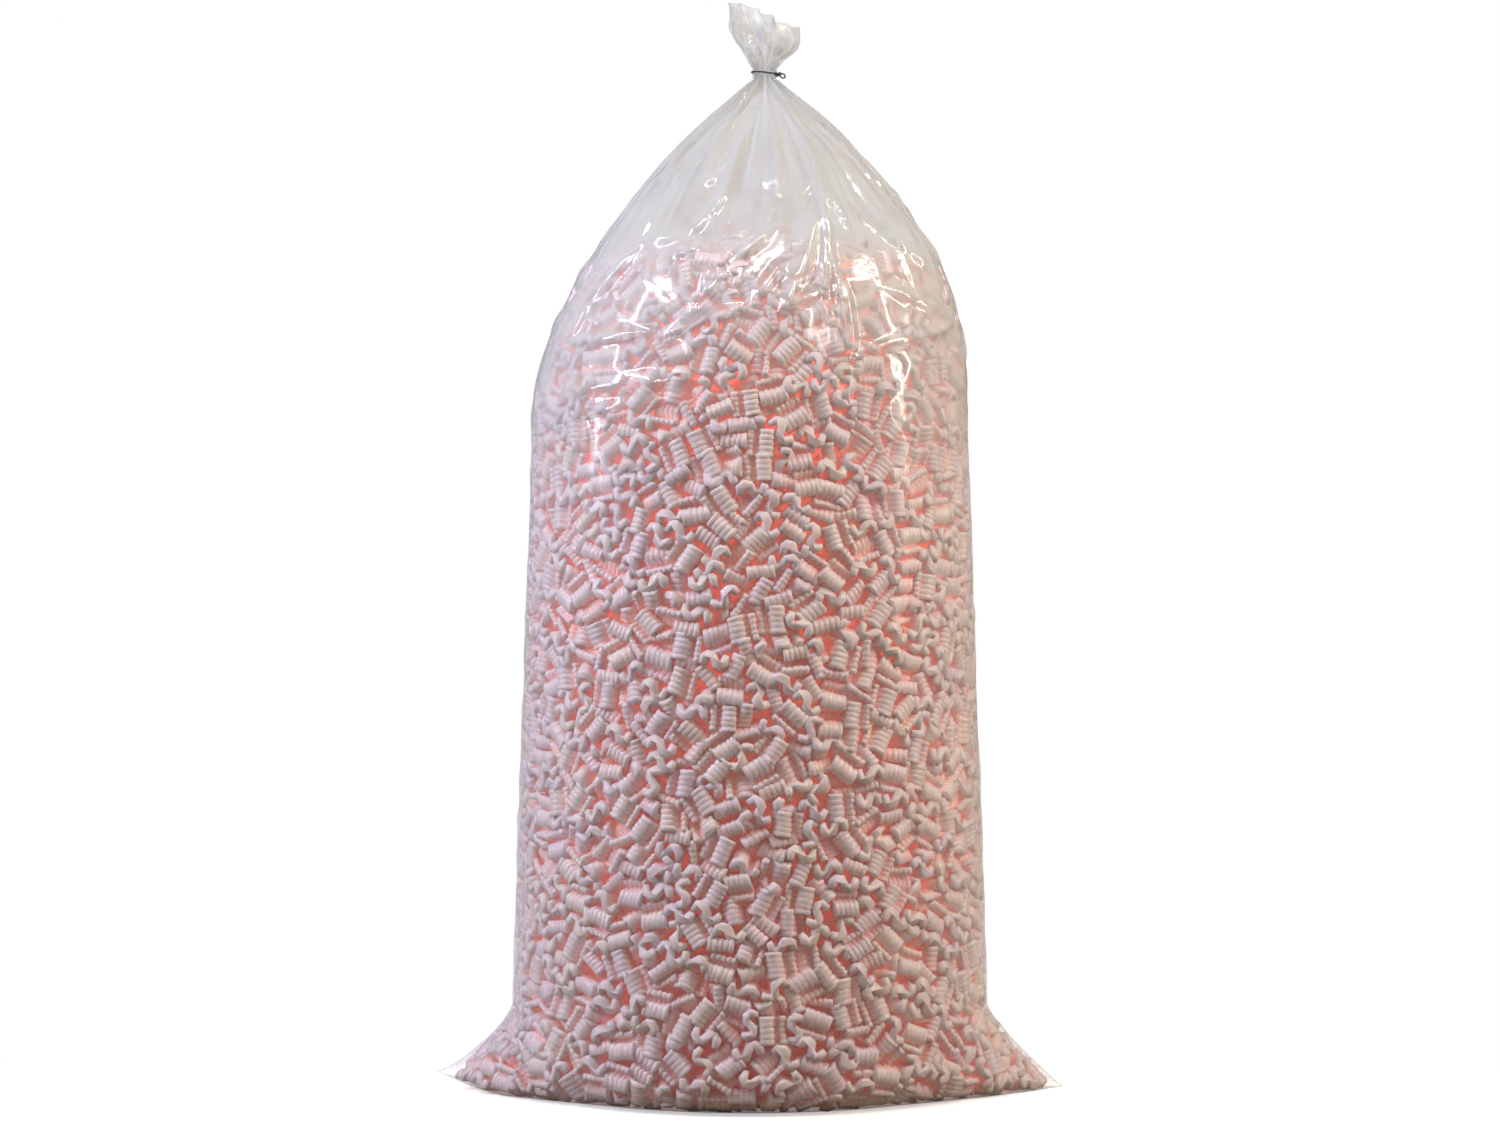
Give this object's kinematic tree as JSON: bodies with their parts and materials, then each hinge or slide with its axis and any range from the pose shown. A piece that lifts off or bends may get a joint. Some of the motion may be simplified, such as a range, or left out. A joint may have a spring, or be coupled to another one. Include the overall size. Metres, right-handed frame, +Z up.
{
  "type": "bag of packing peanuts",
  "caption": "Tall clear plastic bag full of loose S-shaped foam packing peanuts, gathered at the neck and closed with a wire tie.",
  "frame": {"origin": "on the floor, under the middle of the bag's flat bottom", "axes": "+Z up the bag to its neck, +X along the bottom seal towards the right ear, -Y is the front"},
  "size_m": [0.85, 0.5826, 1.4721],
  "materials": {
    "clear_film": "thin clear film, glossy",
    "pink_foam": "foamed plastic, satin skin",
    "dark_wire": "dark coated wire, half gloss"
  },
  "bodies": {
    "root": {"bag_film": "clear_film", "peanut_heap": "pink_foam", "wire_tie": "dark_wire", "loose_peanut_01": "pink_foam", "loose_peanut_02": "pink_foam", "loose_peanut_03": "pink_foam", "loose_peanut_04": "pink_foam", "loose_peanut_05": "pink_foam", "loose_peanut_06": "pink_foam", "loose_peanut_07": "pink_foam", "loose_peanut_08": "pink_foam", "loose_peanut_09": "pink_foam", "loose_peanut_10": "pink_foam", "loose_peanut_11": "pink_foam", "loose_peanut_12": "pink_foam", "loose_peanut_13": "pink_foam", "loose_peanut_14": "pink_foam", "loose_peanut_15": "pink_foam", "loose_peanut_16": "pink_foam", "loose_peanut_17": "pink_foam", "loose_peanut_18": "pink_foam", "loose_peanut_19": "pink_foam", "loose_peanut_20": "pink_foam"}
  },
  "joints": []
}
